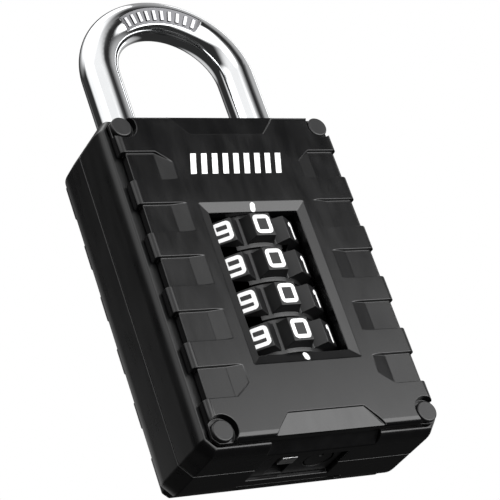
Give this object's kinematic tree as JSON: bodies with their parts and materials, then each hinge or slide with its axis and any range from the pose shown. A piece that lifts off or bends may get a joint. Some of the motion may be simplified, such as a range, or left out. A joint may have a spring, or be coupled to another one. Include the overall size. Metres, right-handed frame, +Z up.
{
  "type": "combination padlock",
  "caption": "Rectangular combination padlock with armour plates, a window of digit dials, a chromed rod shackle that lifts, and a reset slider and cam underneath.",
  "frame": {"origin": "middle of the case's underside, on the seam between the half shells", "axes": "+Z up to the shackle, -Y out of the dial window, +X to the right as the dials are read"},
  "size_m": [0.0528, 0.0264, 0.107],
  "materials": {
    "case_coating": "satin black powder coat on die-cast zinc",
    "armour_plastic": "satin black moulded plastic, finely textured",
    "plug_plastic": "semi-gloss black plastic",
    "dial_plastic": "satin black moulded plastic",
    "digit_print": "flat white print",
    "sleeve_brass": "turned brass",
    "shackle_chrome": "polished chrome plate on hardened steel",
    "steel_fittings": "bright zinc-plated steel",
    "spring_steel": "bare spring steel",
    "slider_metal": "satin silver",
    "insert_plastic": "satin black moulded plastic"
  },
  "bodies": {
    "case": {"front_shell": "case_coating", "rear_shell": "case_coating", "front_plate": "armour_plastic", "rear_plate": "armour_plastic", "plug_top_left": "plug_plastic", "plug_top_right": "plug_plastic", "plug_bottom_left": "plug_plastic", "plug_bottom_right": "plug_plastic", "case_screw_top_left": "steel_fittings", "case_screw_top_right": "steel_fittings", "case_screw_bottom_left": "steel_fittings", "case_screw_bottom_right": "steel_fittings", "dial_cage": "steel_fittings", "cage_screw_lower": "steel_fittings", "cage_screw_upper": "steel_fittings", "detent_comb": "spring_steel", "lift_spring": "spring_steel", "spring_post": "steel_fittings", "bottom_insert": "insert_plastic"},
    "shackle_assembly": {"shackle": "shackle_chrome", "lift_bridge": "steel_fittings", "spindle": "steel_fittings", "spindle_clip": "spring_steel"},
    "first_dial": {"dial_1": "dial_plastic", "code_sleeve_1": "sleeve_brass"},
    "second_dial": {"dial_2": "dial_plastic", "code_sleeve_2": "sleeve_brass"},
    "third_dial": {"dial_3": "dial_plastic", "code_sleeve_3": "sleeve_brass"},
    "fourth_dial": {"dial_4": "dial_plastic", "code_sleeve_4": "sleeve_brass"},
    "slider": {"reset_slider": "slider_metal"},
    "cam": {"reset_cam": "insert_plastic"}
  },
  "joints": [
    {"name": "shackle_lift", "type": "slide", "parent": "case", "child": "shackle_assembly", "axis": [0, 0, 1], "range_m": [0, 0.00765], "deforming": ["lift_spring"]},
    {"name": "first_dial_turn", "type": "hinge", "parent": "case", "child": "first_dial", "pos_m": [0, 0, 0.04488], "axis": [0, 0, 1], "continuous": true, "deforming": ["detent_comb"]},
    {"name": "second_dial_turn", "type": "hinge", "parent": "case", "child": "second_dial", "pos_m": [0, 0, 0.03723], "axis": [0, 0, 1], "continuous": true, "deforming": ["detent_comb"]},
    {"name": "third_dial_turn", "type": "hinge", "parent": "case", "child": "third_dial", "pos_m": [0, 0, 0.02958], "axis": [0, 0, 1], "continuous": true, "deforming": ["detent_comb"]},
    {"name": "fourth_dial_turn", "type": "hinge", "parent": "case", "child": "fourth_dial", "pos_m": [0, 0, 0.02193], "axis": [0, 0, 1], "continuous": true, "deforming": ["detent_comb"]},
    {"name": "reset_slide", "type": "slide", "parent": "case", "child": "slider", "axis": [0, 1, 0], "range_m": [0, 0.0045]},
    {"name": "reset_turn", "type": "hinge", "parent": "case", "child": "cam", "pos_m": [0.0028, -0.0007, 0.003], "axis": [0, 0, 1], "range_deg": [0, 90]}
  ]
}
